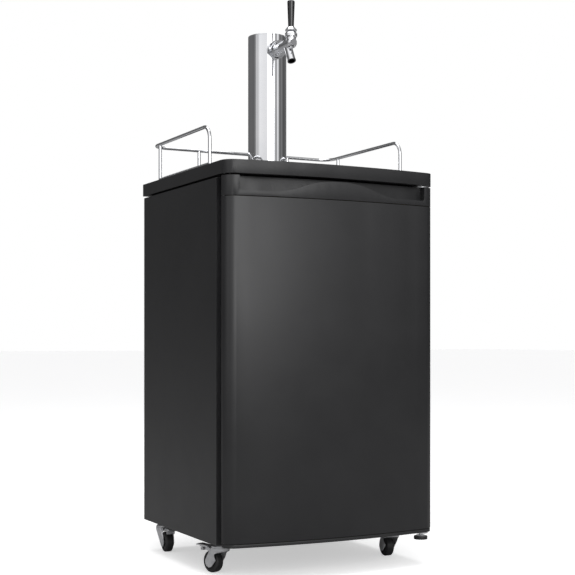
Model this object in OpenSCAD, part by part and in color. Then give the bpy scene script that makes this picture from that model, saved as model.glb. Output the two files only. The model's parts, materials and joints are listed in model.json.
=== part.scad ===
// Single-tap kegerator: an insulated cabinet on swivel casters with a bowed
// door, a worktop with a guard rail and a draft tower with one faucet.
// Millimetres, +Z up. The origin is on the floor under the centre of the
// whole object; +X is the door's hinge side and -Y is the front.

/* [Cabinet] */
// Width of the cabinet body across its side panels
cabinet_w = 454; // [400:1:540]
// Depth of the cabinet body from its front face to its back panel
cabinet_d = 380; // [360:1:480]
// Height of the cabinet body from base pan to top panel
cabinet_h = 683; // [560:1:840]
// Height of the base pan above the floor
base_z = 64; // [60:1:90]
// Thickness of the painted sheet steel
sheet_t = 1; // [0.6:0.1:2]
// Thickness of the base pan
pan_t = 1.5; // [1:0.1:3]
// Width of the folded flange on each side panel
flange_w = 14; // [8:1:20]
// Thickness of the foam insulation in the cabinet walls
foam_t = 26; // [18:1:45]
// Thickness of the plastic inner liner
liner_t = 2; // [1:0.5:4]
// Thickness of the steel plate that the keg stands on
keg_plate_t = 1.5; // [1:0.1:3]

/* [Compressor bay] */
// Depth of the open bay at the lower back
bay_d = 130; // [120:1:160]
// Height of the open bay above the base pan
bay_h = 185; // [170:1:230]
// Radius of the compressor can
compressor_r = 48; // [40:1:55]
// Distance between the two ends of the compressor can
compressor_stretch = 44; // [20:1:80]
// Height of the rubber mounts under the compressor
mount_h = 14; // [8:1:25]
// Radius of the refrigerant tube
tube_r = 2.4; // [2:0.1:4]
// Half the thickness of the condenser's wires
wire_r = 0.8; // [0.5:0.1:1.2]
// Number of passes of the condenser's tube
condenser_passes = 9; // [5:2:11]
// Number of wires on the condenser's outer face
condenser_wires = 11; // [7:1:21]
// Distance of the condenser's tube from the back panel
condenser_gap = 14; // [10:1:25]

/* [Worktop] */
// Thickness of the worktop
worktop_t = 25; // [18:1:35]
// Shadow gap between the cabinet and the worktop
worktop_gap = 4; // [3.5:0.5:8]
// Overhang of the worktop past each side panel
worktop_side = 1; // [0:0.5:10]
// Overhang of the worktop past the back panel
worktop_back = 4; // [0:0.5:15]
// How far the middle of the bowed front stands out past its corners
front_bow = 19.5; // [8:0.5:40]
// Distance of the worktop's and door's front corners ahead of the cabinet
front_reach = 43; // [38:1:60]
// Radius of the worktop's front corners in plan
worktop_corner_r = 26; // [10:1:45]

/* [Door] */
// How much narrower the door is than the worktop
door_trim_w = 2; // [1:0.5:6]
// Radius of the door's front corners in plan
door_corner_r = 25; // [10:1:40]
// Depth of the gap band taken by the door's liner and gasket
door_back_gap = 23; // [18:1:30]
// Thickness of the magnetic gasket when the door is shut
gasket_t = 13.6; // [10:0.1:16]
// Width of the gasket
gasket_w = 16; // [10:1:22]
// Inset of the gasket and liner from the door's sides
liner_inset = 19.5; // [12:0.5:25]
// Height of the handle trim along the door's top
trim_h = 37; // [30:1:60]
// Height of the cap along the door's bottom
cap_h = 7.5; // [7:0.5:20]
// Width of the seams between the door's outer pieces
seam_w = 1.2; // [0.5:0.1:3]
// Clearance under the door
door_under = 1; // [0.5:0.5:4]
// Gap between the door's top and the level of the cabinet's top
door_over = 0.5; // [0.2:0.1:2]
// Radius of the hinge pins
pin_r = 5; // [4:0.5:6]
// Distance of the hinge axis from the door's side
hinge_inset = 20; // [14:0.5:22]
// Distance of the hinge axis ahead of the cabinet's front face
hinge_ahead = 24.5; // [20:0.5:30]
// Depth of each hinge pin inside the door
pin_depth = 14; // [10:1:20]
// Wall of the hinge bushes
bush_t = 3; // [2:0.5:4]

/* [Handle] */
// Distance from the door's side to the outer wall of each finger pocket
pocket_side = 26; // [15:1:40]
// Depth of the finger pockets behind the door's face
pocket_d = 15; // [10:1:18]
// Height of the trim's lower lip under the pockets
lip_h = 9.5; // [6:0.5:15]
// Height of the wave's crest above the trim's bottom edge
crest_h = 33.5; // [24:0.5:50]
// Half width of the wave from its crest to a pocket's flat lip
wave_w = 130; // [80:1:150]

/* [Guard rail] */
// Radius of the rail's rod
rod_r = 3.4; // [2.5:0.1:5]
// Height of the rail's centre line above the worktop
rail_h = 78; // [50:1:120]
// Inset of the rail from the worktop's sides
rail_inset = 14.8; // [8:0.1:30]
// Inset of the rail from the worktop's back edge
rail_back = 20; // [10:0.5:40]
// Distance of the rail's front feet behind the worktop's front corners
rail_front = 104.5; // [60:0.5:160]
// Radius of the rail's corners in plan
rail_corner_r = 29; // [15:1:60]
// Radius of the bends above the rail's front feet
rail_bend_r = 27; // [12:1:40]
// Distance of the rear side posts from the rail's back
post_back = 43; // [31:1:80]
// Half the distance between the two posts of the back rail
post_half = 107; // [60:1:140]
// Depth of the rail's feet in the worktop
foot_depth = 10; // [6:1:14]
// Radius of the rod that joins the feet at each side
base_rod_r = 3; // [2:0.1:4]

/* [Tower] */
// Radius of the draft tower's column
tower_r = 40.5; // [38:0.5:50]
// Height of the column above the worktop
tower_h = 309; // [240:1:420]
// Distance of the tower's axis ahead of the worktop's back edge
tower_back = 136.5; // [110:1:170]
// Wall of the column
tower_t = 1.2; // [0.8:0.1:2.5]
// Radius of the tower's base flange
tower_flange_r = 57; // [54:1:75]
// Thickness of the tower's base flange
tower_flange_t = 4; // [3:0.5:8]
// Radius of the passage for the beer line and cold air
passage_r = 28; // [15:1:32]
// Depth of the shank's axis under the column's top
shank_drop = 35; // [28:1:80]
// Radius of the faucet shank
shank_r = 11; // [9:0.5:12]
// Radius of the shank's bore
shank_bore_r = 4.8; // [3:0.1:6]

/* [Faucet] */
// Radius of the faucet's barrel
barrel_r = 11.2; // [9.5:0.1:13]
// Distance of the lever's axis ahead of the column
lever_reach = 69; // [64:1:90]
// Distance from the barrel's axis up to the lever's ball
ball_rise = 12.5; // [12:0.5:16]
// Radius of the bonnet at its waist
bonnet_r = 12.6; // [11:0.1:15]
// Height of the bonnet
bonnet_h = 12; // [10:0.5:13]
// Radius of the spout
spout_r = 8.4; // [7:0.1:9.5]
// Lean of the spout from the vertical, in degrees
spout_lean = 27; // [0:1:35]
// Depth of the spout's mouth under the barrel's axis
spout_drop = 37; // [26:1:50]
// Length of the black tap handle
handle_h = 53; // [40:1:160]
// Radius of the tap handle at its top
handle_top_r = 7.7; // [6:0.1:14]
// Radius of the tap handle at its foot
handle_foot_r = 5.9; // [5:0.1:9]

/* [Drip tray] */
// Width of the drip tray
tray_w = 190; // [120:1:220]
// Depth of the drip tray from front to back
tray_d = 112; // [80:1:120]
// Height of the drip tray
tray_h = 14; // [10:1:25]
// Depth of the worktop's recess that holds the tray
tray_recess = 8; // [4:1:12]

/* [Casters] */
// Radius of the wheels
wheel_r = 21; // [18:0.5:22]
// Width of the wheels
wheel_w = 17; // [14:0.5:19]
// Horizontal distance from the swivel axis to the axle
trail = 20; // [14:0.5:24]
// Inset of the swivel axes from the cabinet's sides
caster_side = 36; // [26:1:60]
// Inset of the front swivel axes from the cabinet's front face
caster_front = 62; // [40:1:90]
// Inset of the rear swivel axes from the cabinet's back
caster_rear = 27; // [26:1:60]
// Radius of the caster stems
stem_r = 5; // [4:0.5:6]
// Height of the nut between the base pan and each swivel plate
stem_nut_h = 11; // [6:0.5:14]
// Radius of the levelling foot
foot_r = 13.5; // [12:0.5:20]
// Thickness of the levelling foot
foot_t = 6; // [6:0.5:14]

/* [Fits] */
// Radial running clearance of shafts and pins
running = 0.05; // [0.02:0.01:0.1]
// Clearance between pieces that move past each other
moving_gap = 0.5; // [0.3:0.1:1.5]
// Clearance between pieces that seat in each other
seat_gap = 0.2; // [0.1:0.05:0.5]

/* [Hidden] */
$fn = 48;

// A cut reaches this far past the surface that it opens.
past = 1;

// Cabinet
half_w = cabinet_w / 2;
overall_d = front_bow + front_reach + cabinet_d + condenser_gap + tube_r + wire_r;
front_y = -overall_d / 2 + front_bow + front_reach;
back_y = front_y + cabinet_d;
top_z = base_z + cabinet_h;
wall_t = sheet_t + foam_t + liner_t;
room_half = half_w - wall_t;
room_back = back_y - wall_t;
room_floor = base_z + pan_t + foam_t + liner_t;
room_top = top_z - wall_t;
bay_front = back_y - bay_d;
bay_top = base_z + bay_h;
hump_front = bay_front - wall_t;
hump_top = bay_top + wall_t;
hump_slope = 30;

// Worktop
worktop_w = cabinet_w + 2 * worktop_side;
corner_y = front_y - front_reach;
worktop_back_y = back_y + worktop_back;
worktop_low = top_z + worktop_gap;
worktop_z = worktop_low + worktop_t;
plinth_inset = 12;
bow_fn = 720;

// Door
door_w = worktop_w - door_trim_w;
door_rear = front_y - door_back_gap;
door_low = base_z + door_under;
door_top = top_z + door_over;
panel_low = door_low + cap_h;
panel_top = door_top - trim_h - seam_w;
door_skin = 1;
hinge_x = door_w / 2 - hinge_inset;
hinge_y = front_y - hinge_ahead;
gasket_clear = 0.4;
gasket_front = front_y - gasket_clear - gasket_t;
liner_half = door_w / 2 - liner_inset;
liner_low = base_z + 12;
liner_high = top_z - 12;
bracket_t = 3;
bracket_end_r = 14;
upper_plate_t = worktop_gap - door_over - moving_gap;
bush_r = pin_r + bush_t;

// Guard rail
rail_x = worktop_w / 2 - rail_inset;
rail_y = worktop_back_y - rail_back;
rail_front_y = corner_y + rail_front;
rail_z = worktop_z + rail_h;
post_y = rail_y - post_back;
rail_foot_z = worktop_z - foot_depth;
grommet_r = rod_r + 1.6;
base_rod_z = worktop_z + base_rod_r + 2;

// Tower and faucet
tower_y = worktop_back_y - tower_back;
tower_top = worktop_z + tower_h;
shank_z = tower_top - shank_drop;
tower_face = tower_y - tower_r;
saddle_t = 7;
shank_flange_r = 19;
nut_front = tower_face - saddle_t - seat_gap - 17;
nut_r = 16.6;
barrel_back = nut_front + 6;
lever_y = tower_face - lever_reach;
ball_z = shank_z + ball_rise;
bonnet_low = shank_z + barrel_r;
collar_low = bonnet_low + 17;
nose_front = lever_y - 12;
shaft_bore_r = 7.2;
collar_gap = 6.8;
tip_r = 3.2;
tip_arm = ball_rise;
spout_wall = 2;
outlet_l = 20;

// Drip tray
tray_front = lever_y - 12 - tray_d / 2;
tray_wall = 2;
tray_low = worktop_z - tray_recess;
grille_t = 2;

// Casters
stem_x = half_w - caster_side;
stem_front_y = front_y + caster_front;
stem_rear_y = back_y - caster_rear;
swivel_top = base_z - stem_nut_h - 2.7 - moving_gap / 2;
fork_r = 18;
fork_t = 1.6;
fork_gap = wheel_w + 4;
axle_r = 3;
brake_t = trail + 6;
brake_z = swivel_top - 3.2;
brake_pin_r = 1.6;

// Place, sign of X and heading of each caster; a heading is the direction in
// which the wheel trails its swivel axis, in degrees from +Y towards +X.
CASTERS = [
    ["front_left", -stem_x, stem_front_y, -18],
    ["front_right", stem_x, stem_front_y, 7],
    ["rear_left", -stem_x, stem_rear_y, 185],
    ["rear_right", stem_x, stem_rear_y, 12]];

BLACK_PAINT = [0.17, 0.17, 0.18];
BLACK_PLASTIC = [0.12, 0.12, 0.13];
LINER = [0.85, 0.86, 0.87];
CHROME = [0.80, 0.81, 0.83];
ZINC = [0.66, 0.67, 0.68];
RUBBER = [0.06, 0.06, 0.06];
FOAM = [0.93, 0.86, 0.62];

// ---------------------------------------------------------------- helpers

// Plan of a bowed front: straight back and sides, an arc across the front and
// rounded front corners. Its unrounded front corners lie at y = front.
module bow_plan(w, front, back, corner_r, inset = 0) {
    intersection() {
        bow_outline(w, front, corner_r, inset);
        translate([-w, front - w]) square([2 * w, back - front + w]);
    }
}

module bow_outline(w, front, corner_r, inset) {
    half = w / 2;
    full_r = (half * half + front_bow * front_bow) / (2 * front_bow);
    centre_y = front - front_bow + full_r;
    bow_r = full_r - inset;
    r = corner_r - inset;
    side = half - inset;
    cx = side - r;
    cy = centre_y - sqrt((bow_r - r) * (bow_r - r) - cx * cx);
    reach = 1.05;
    low_y = centre_y - (centre_y - cy) * reach;
    intersection() {
        translate([0, centre_y]) circle(bow_r, $fn = bow_fn);
        polygon([[-cx, cy], [cx, cy], [cx * reach, low_y], [-cx * reach, low_y]]);
    }
    for (s = [-1, 1]) intersection() {
        translate([s * cx, cy]) circle(r);
        polygon([[s * cx, cy], [s * cx * reach, low_y], [s * (side + past), low_y], [s * (side + past), cy]]);
    }
    translate([-side, cy]) square([2 * side, cabinet_d + 100]);
}

// Box from its lowest to its highest corner.
module box(low, high) {
    translate(low) cube([for (i = [0:2]) high[i] - low[i]]);
}

// Profile in the YZ plane, pushed along X from x0 to x1.
module along_x(x0, x1) {
    translate([x0, 0, 0]) rotate([90, 0, 90]) linear_extrude(x1 - x0) children();
}

// Cylinder along Y from y0 to y1, centred on x and z.
module rod_y(x, z, y0, y1, r) {
    translate([x, y0, z]) rotate([-90, 0, 0]) cylinder(h = y1 - y0, r = r);
}

// Cylinder along X from x0 to x1, centred on y and z.
module rod_x(y, z, x0, x1, r) {
    translate([x0, y, z]) rotate([0, 90, 0]) cylinder(h = x1 - x0, r = r);
}

// Upright cylinder between two heights.
module rod_z(x, y, z0, z1, r) {
    translate([x, y, z0]) cylinder(h = z1 - z0, r = r);
}

// Screw with a round head that faces +Z, its head seated at z = 0.
module screw(r, l, head_r, head_h) {
    translate([0, 0, -l]) cylinder(h = l, r = r);
    difference() {
        cylinder(h = head_h, r = head_r);
        for (a = [0, 90]) rotate(a) translate([0, 0, head_h]) cube([head_r * 1.1, 0.9, 1.2], center = true);
    }
}

// ---------------------------------------------------------------- cabinet

module side_panel(side) {
    x0 = side < 0 ? -half_w : half_w - sheet_t;
    inner = side < 0 ? -half_w : half_w - flange_w;
    color(BLACK_PAINT) {
        box([x0, front_y, base_z], [x0 + sheet_t, back_y, top_z]);
        box([inner, front_y, base_z], [inner + flange_w, front_y + sheet_t, top_z]);
    }
}

module left_side_panel() side_panel(-1);
module right_side_panel() side_panel(1);

// The top panel closes the carcass between the side panels.
module top_panel() {
    color(BLACK_PAINT) difference() {
        box([-half_w + sheet_t, front_y + sheet_t, top_z - sheet_t], [half_w - sheet_t, back_y, top_z]);
        rod_z(0, tower_y, top_z - sheet_t - past, top_z + past, passage_r);
    }
}

// The back panel steps forward over the compressor bay and down to the pan.
module back_panel() {
    s = sheet_t;
    color(BLACK_PAINT) difference() {
        along_x(-half_w + s, half_w - s) polygon([
            [back_y - s, top_z - s], [back_y, top_z - s], [back_y, bay_top],
            [bay_front, bay_top], [bay_front, base_z + pan_t],
            [bay_front - s, base_z + pan_t], [bay_front - s, bay_top + s], [back_y - s, bay_top + s]]);
        rod_y(gas_port_x, gas_port_z, back_y - s - past, back_y + past, gas_port_r);
        for (p = back_screws()) rod_y(p[0], p[1], back_y - s - past, back_y + past, 1.8);
    }
}

// Screws at the back panel's corners, as x and z.
function back_screws() = [for (x = [-1, 1], z = [bay_top + 30, top_z - 30]) [x * (half_w - 20), z]];

gas_port_r = 12;
gas_port_x = -room_half + 60;
gas_port_z = room_top - 60;

module base_pan() {
    color(BLACK_PAINT) difference() {
        box([-half_w + sheet_t, front_y + sheet_t, base_z], [half_w - sheet_t, back_y, base_z + pan_t]);
        for (c = CASTERS) rod_z(c[1], c[2], base_z - past, base_z + pan_t + past, stem_r);
    }
}

// Side view of the insulated room: the floor, the hump over the bay, the back.
module room_profile(front, grow) {
    polygon([[front, room_floor - grow], [hump_front + grow, room_floor - grow],
        [hump_front + grow, hump_top - hump_slope - grow], [hump_front + hump_slope, hump_top - grow],
        [room_back + grow, hump_top - grow], [room_back + grow, room_top + grow],
        [front, room_top + grow]]);
}

module foam_insulation() {
    s = sheet_t;
    color(FOAM) difference() {
        along_x(-half_w + s, half_w - s) polygon([
            [front_y + liner_t, base_z + pan_t], [bay_front - s, base_z + pan_t],
            [bay_front - s, bay_top + s], [back_y - s, bay_top + s],
            [back_y - s, top_z - s], [front_y + liner_t, top_z - s]]);
        along_x(-room_half - liner_t, room_half + liner_t) room_profile(front_y, liner_t);
        rod_z(0, tower_y, room_top, top_z + past, passage_r);
        rod_y(gas_port_x, gas_port_z, room_back, back_y + past, gas_port_r);
        for (s2 = [-1, 1]) {
            rod_z(s2 * stem_x, stem_front_y, base_z, base_z + stem_top_h + 1, stem_r + 5);
        }
    }
}

// Moulded liner: the room's walls and a flange that frames the front.
module inner_liner() {
    flange_half = half_w - flange_w;
    color(LINER) difference() {
        union() {
            along_x(-room_half - liner_t, room_half + liner_t) room_profile(front_y, liner_t);
            box([-flange_half, front_y, base_z + pan_t], [flange_half, front_y + liner_t, top_z - sheet_t]);
        }
        along_x(-room_half, room_half) room_profile(front_y - past, 0);
        rod_z(0, tower_y, room_top - past, top_z, passage_r);
        rod_y(gas_port_x, gas_port_z, room_back - past, back_y, gas_port_r);
    }
}

module keg_plate() {
    inset = 3;
    color(ZINC) box([-room_half + inset, front_y + inset, room_floor],
        [room_half - inset, hump_front - inset, room_floor + keg_plate_t]);
}

// Roll-bonded evaporator plate on four stand-offs above the hump.
module evaporator() {
    plate_half = room_half - 60;
    low = hump_top + 60;
    high = room_top - 110;
    y = room_back - 8;
    color([0.78, 0.80, 0.82]) {
        box([-plate_half, y - 1.5, low], [plate_half, y, high]);
        for (x = [-1, 1], z = [low + 25, high - 25]) rod_y(x * (plate_half - 20), z, y, room_back, 5);
        for (i = [0:4]) {
            z = low + (i + 1) * (high - low) / 6;
            rod_x(y - 1.5, z, -plate_half + 15, plate_half - 15, 2.2);
        }
    }
}

housing_w = 52;
housing_d = 64;
housing_h = 46;
housing_x = room_half - housing_w;
housing_y = room_back - housing_d - 40;
knob_z = room_top - housing_h / 2;
knob_y = housing_y + 0;
knob_x = housing_x + housing_w / 2;

module thermostat_housing() {
    color([0.9, 0.9, 0.9]) difference() {
        box([housing_x, housing_y, room_top - housing_h], [room_half, housing_y + housing_d, room_top]);
        rod_y(knob_x, knob_z, housing_y - past, housing_y + 14, 3 + running);
    }
}

// Dial on a short spindle, with a raised pointer.
module thermostat_knob() {
    color([0.75, 0.76, 0.77]) {
        rod_y(knob_x, knob_z, housing_y - moving_gap, housing_y + 12, 3);
        rod_y(knob_x, knob_z, housing_y - moving_gap - 4, housing_y - moving_gap, 16);
        rod_y(knob_x, knob_z, housing_y - moving_gap - 12, housing_y - moving_gap - 4, 12);
        box([knob_x - 1.5, housing_y - moving_gap - 14, knob_z - 11],
            [knob_x + 1.5, housing_y - moving_gap - 12, knob_z + 11]);
    }
}

// ---------------------------------------------------------------- cooling

bay_mid_y = bay_front + bay_d / 2;
compressor_x = -20;
plate_z = base_z + pan_t + mount_h;
can_low = plate_z + 3;
can_mid = can_low + compressor_r;
can_rise = 34;
mount_x = compressor_stretch / 2 + compressor_r + 12;
mount_y = compressor_r - 16;

// Hermetic can with a welded waist and a foot plate.
module compressor() {
    color([0.08, 0.08, 0.09]) translate([compressor_x, bay_mid_y, 0]) {
        hull() for (x = [-1, 1], z = [0, can_rise]) {
            translate([x * compressor_stretch / 2, 0, can_mid + z]) sphere(compressor_r, $fn = 40);
        }
        translate([0, 0, can_mid + can_rise / 2 - 2]) linear_extrude(4) {
            for (x = [-1, 1]) translate([x * compressor_stretch / 2, 0]) circle(compressor_r + 2.5);
            square([compressor_stretch, 2 * compressor_r + 5], center = true);
        }
        difference() {
            box([-mount_x - 12, -mount_y - 10, plate_z], [mount_x + 12, mount_y + 10, plate_z + 3]);
            for (x = [-1, 1], y = [-1, 1]) {
                rod_z(x * mount_x, y * mount_y, plate_z - past, plate_z + 3 + past, 5);
            }
        }
        rod_z(0, 0, plate_z + 3, can_mid, compressor_r * 0.7);
    }
}

module compressor_mounts() {
    color(RUBBER) translate([compressor_x, bay_mid_y, 0]) for (x = [-1, 1], y = [-1, 1]) {
        rod_z(x * mount_x, y * mount_y, base_z + pan_t, plate_z, 10);
        rod_z(x * mount_x, y * mount_y, plate_z, plate_z + 3, 5);
        rod_z(x * mount_x, y * mount_y, plate_z + 3, plate_z + 7, 8);
    }
}

module relay_cover() {
    x = compressor_x + compressor_stretch / 2 + compressor_r;
    color(BLACK_PLASTIC) translate([0, 0, can_mid]) difference() {
        box([x - 8, bay_mid_y - 26, -12], [x + 24, bay_mid_y + 26, 42]);
        translate([compressor_x + compressor_stretch / 2, bay_mid_y, 0]) {
            cylinder(h = 200, r = compressor_r + 2.5 + seat_gap, center = true);
        }
    }
}

condenser_half = half_w - 55;
condenser_y = back_y + condenser_gap;
condenser_low = bay_top + 70;
condenser_high = top_z - 60;
pass_step = (condenser_high - condenser_low) / (condenser_passes - 1);

// Serpentine tube with wires on its outer face and four clips to the back panel.
module condenser() {
    $fn = 16;
    color([0.1, 0.1, 0.1]) {
        for (i = [0:condenser_passes - 1]) {
            rod_x(condenser_y, condenser_low + i * pass_step, -condenser_half, condenser_half, tube_r);
        }
        for (i = [0:condenser_passes - 2]) {
            s = i % 2 == 0 ? 1 : -1;
            translate([s * condenser_half, condenser_y, condenser_low + (i + 0.5) * pass_step]) {
                rotate([90, 90 * s, 0]) rotate_extrude(angle = 180) translate([pass_step / 2, 0]) circle(tube_r);
            }
        }
        for (i = [0:condenser_wires - 1]) {
            x = -condenser_half + 12 + i * (2 * condenser_half - 24) / (condenser_wires - 1);
            y = condenser_y + tube_r - wire_r;
            box([x - wire_r, y, condenser_low - 10], [x + wire_r, y + 2 * wire_r, condenser_high + 10]);
        }
        for (x = [-1, 1], z = [condenser_low, condenser_high]) {
            rod_y(x * (condenser_half - 40), z, back_y, condenser_y, 4);
        }
        rod_z(-condenser_half, condenser_y, tail_z, condenser_low, tube_r);
        translate([-condenser_half, condenser_y, tail_z]) sphere(tube_r);
        rod_y(-condenser_half, tail_z, bay_mid_y, condenser_y, tube_r);
        translate([-condenser_half, bay_mid_y, tail_z]) sphere(tube_r);
        rod_x(bay_mid_y, tail_z, -condenser_half, compressor_x - compressor_stretch / 2 - compressor_r, tube_r);
    }
}

tail_z = can_mid + 10;

// Tray for defrost water, held over the compressor by two side lugs.
module drain_pan() {
    low = bay_top - 26;
    color(BLACK_PLASTIC) difference() {
        union() {
            box([compressor_x - 70, bay_mid_y - 42, low], [compressor_x + 70, bay_mid_y + 42, low + 18]);
            box([compressor_x - 70, bay_front, low + 6], [compressor_x + 70, bay_mid_y - 42, low + 10]);
        }
        box([compressor_x - 68, bay_mid_y - 40, low + 2], [compressor_x + 68, bay_mid_y + 40, low + 18 + past]);
    }
}

// Cable inlet on the base pan's back edge, with its bore towards the back.
module cable_gland() {
    x = half_w - 70;
    z = base_z + pan_t;
    color(BLACK_PLASTIC) difference() {
        union() {
            box([x - 12, back_y - 26, z], [x + 12, back_y - 4, z + 22]);
            rod_y(x, z + 12, back_y - 4, back_y + 12, 8);
        }
        rod_y(x, z + 12, back_y - 26 - past, back_y + 12 + past, 4);
    }
}

// Rubber sleeve through the back wall for the gas line.
module gas_port_grommet() {
    color(RUBBER) difference() {
        union() {
            rod_y(gas_port_x, gas_port_z, room_back - 2, back_y + 3, gas_port_r);
            rod_y(gas_port_x, gas_port_z, back_y, back_y + 3, gas_port_r + 4);
            rod_y(gas_port_x, gas_port_z, room_back - 2, room_back, gas_port_r + 4);
        }
        rod_y(gas_port_x, gas_port_z, room_back - 2 - past, back_y + 3 + past, 7);
    }
}

// ---------------------------------------------------------------- hinges

module lower_hinge_bracket() {
    color(ZINC) difference() {
        union() {
            rod_z(hinge_x, hinge_y, base_z - bracket_t, base_z, bracket_end_r);
            box([hinge_x - bracket_end_r, hinge_y, base_z - bracket_t],
                [hinge_x + bracket_end_r, front_y + 28, base_z]);
        }
        rod_z(hinge_x, hinge_y, base_z - bracket_t - past, base_z + past, pin_r);
        for (y = [8, 20]) rod_z(hinge_x, front_y + y, base_z - bracket_t - past, base_z + past, 2);
    }
}

module upper_hinge_bracket() {
    plate_z = worktop_low - upper_plate_t;
    color(ZINC) difference() {
        union() {
            rod_z(hinge_x, hinge_y, plate_z, worktop_low, bracket_end_r);
            box([hinge_x - bracket_end_r, hinge_y, plate_z], [hinge_x + bracket_end_r, front_y + 28, worktop_low]);
            box([hinge_x - bracket_end_r, front_y, top_z], [hinge_x + bracket_end_r, front_y + 28, plate_z]);
        }
        rod_z(hinge_x, hinge_y, plate_z - past, worktop_low + past, pin_r);
    }
}

// The lower pin is bored and tapped for the levelling foot's stud.
module hinge_pins() {
    color(CHROME) {
        difference() {
            rod_z(hinge_x, hinge_y, base_z - bracket_t, door_low + pin_depth, pin_r);
            rod_z(hinge_x, hinge_y, base_z - bracket_t - past, door_low + pin_depth - 2, foot_stud_r + running);
        }
        rod_z(hinge_x, hinge_y, door_top - pin_depth, worktop_low, pin_r);
    }
}

foot_stud_r = 3;
foot_top = base_z - bracket_t - 6;

module leveling_foot() {
    color(BLACK_PLASTIC) {
        rod_z(hinge_x, hinge_y, foot_top - foot_t, foot_top, foot_r);
        rod_z(hinge_x, hinge_y, foot_top, door_low + pin_depth - 3, foot_stud_r);
    }
}

module hinge_bushes() {
    color([0.9, 0.9, 0.88]) difference() {
        union() {
            rod_z(hinge_x, hinge_y, door_low, door_low + pin_depth + 1, bush_r);
            rod_z(hinge_x, hinge_y, door_top - pin_depth - 1, door_top, bush_r);
        }
        rod_z(hinge_x, hinge_y, door_low - past, door_low + pin_depth + moving_gap, pin_r + running);
        rod_z(hinge_x, hinge_y, door_top - pin_depth - moving_gap, door_top + past, pin_r + running);
    }
}

// Screws that hold the hinge brackets and the back panel's corners.
module panel_screws() {
    color(ZINC) {
        for (y = [8, 20]) {
            translate([hinge_x, front_y + y, base_z - bracket_t]) rotate([180, 0, 0]) screw(2, bracket_t, 4, 2);
        }
        for (p = back_screws()) {
            translate([p[0], back_y, p[1]]) rotate([-90, 0, 0]) screw(1.8, sheet_t, 3.6, 2);
        }
    }
}

// ---------------------------------------------------------------- worktop

module worktop() {
    plinth_half = half_w - plinth_inset;
    color(BLACK_PLASTIC) difference() {
        union() {
            translate([0, 0, worktop_low]) linear_extrude(worktop_t) {
                bow_plan(worktop_w, corner_y, worktop_back_y, worktop_corner_r);
            }
            box([-plinth_half, front_y + plinth_inset, top_z], [plinth_half, back_y - plinth_inset, worktop_low]);
        }
        rod_z(0, tower_y, top_z - past, worktop_z + past, passage_r);
        box([hinge_x - bracket_end_r - 2, front_y, top_z - past], [half_w, front_y + 30, worktop_low]);
        box([-tray_w / 2 - moving_gap, tray_front - moving_gap, tray_low],
            [tray_w / 2 + moving_gap, tray_front + tray_d + moving_gap, worktop_z + past]);
        for (p = rail_feet()) rod_z(p[0], p[1], rail_foot_z, worktop_z + past, grommet_r);
        for (a = tower_screw_angles) {
            translate([0, tower_y, 0]) rotate(a) rod_z(tower_pcd / 2, 0, worktop_z - 14, worktop_z + past, 2);
        }
    }
}

// ---------------------------------------------------------------- guard rail

// Feet of the rail: front and rear posts at each side, two on the back.
function rail_feet() = concat(
    [for (s = [-1, 1]) [s * rail_x, rail_front_y]],
    [for (s = [-1, 1]) [s * rail_x, post_y]],
    [for (s = [-1, 1]) [s * post_half, rail_y]]);

module rail_side(s) {
    bend_z = rail_z - rail_bend_r;
    rod_z(s * rail_x, rail_front_y, rail_foot_z + 1, bend_z, rod_r);
    translate([s * rail_x, rail_front_y + rail_bend_r, bend_z]) rotate([90, 0, -90]) {
        rotate_extrude(angle = 90) translate([rail_bend_r, 0]) circle(rod_r);
    }
    rod_y(s * rail_x, rail_z, rail_front_y + rail_bend_r, rail_y - rail_corner_r, rod_r);
    translate([s * (rail_x - rail_corner_r), rail_y - rail_corner_r, rail_z]) rotate(s > 0 ? 0 : 90) {
        rotate_extrude(angle = 90) translate([rail_corner_r, 0]) circle(rod_r);
    }
    rod_z(s * rail_x, post_y, rail_foot_z + 1, rail_z, rod_r);
    rod_z(s * post_half, rail_y, rail_foot_z + 1, rail_z, rod_r);
    rod_y(s * rail_x, base_rod_z, rail_front_y, post_y, base_rod_r);
}

module guard_rail() {
    color(CHROME) {
        for (s = [-1, 1]) rail_side(s);
        rod_x(rail_y, rail_z, -rail_x + rail_corner_r, rail_x - rail_corner_r, rod_r);
    }
}

// Plastic sleeves that the rail's feet push into.
module rail_grommets() {
    color(BLACK_PLASTIC) difference() {
        for (p = rail_feet()) {
            rod_z(p[0], p[1], rail_foot_z, worktop_z, grommet_r);
            rod_z(p[0], p[1], worktop_z, worktop_z + 1.2, grommet_r + 1.5);
        }
        for (p = rail_feet()) rod_z(p[0], p[1], rail_foot_z + 1, worktop_z + 1.2 + past, rod_r);
    }
}

// ---------------------------------------------------------------- tower

tower_pcd = tower_r + tower_flange_r;
tower_screw_angles = [45, 135, 225, 315];
collar_h = 14;

module tower_flange() {
    collar_r = tower_r - tower_t;
    translate([0, tower_y, worktop_z]) color(CHROME) difference() {
        union() {
            cylinder(h = tower_flange_t, r = tower_flange_r);
            cylinder(h = tower_flange_t + collar_h, r = collar_r);
        }
        translate([0, 0, -past]) cylinder(h = tower_flange_t + collar_h + 2 * past, r = passage_r);
        for (a = tower_screw_angles) {
            rotate(a) translate([tower_pcd / 2, 0, -past]) cylinder(h = tower_flange_t + 2 * past, r = 2.2);
        }
    }
}

module tower_screws() {
    color(CHROME) translate([0, tower_y, worktop_z + tower_flange_t]) for (a = tower_screw_angles) {
        rotate(a) translate([tower_pcd / 2, 0, 0]) screw(2, tower_flange_t + 12, 3.8, 2.2);
    }
}

module tower_column() {
    color(CHROME) difference() {
        rod_z(0, tower_y, worktop_z + tower_flange_t, tower_top - 2, tower_r);
        rod_z(0, tower_y, worktop_z, tower_top, tower_r - tower_t);
        rod_y(0, shank_z, tower_face - past, tower_y, shank_r);
    }
}

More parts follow.
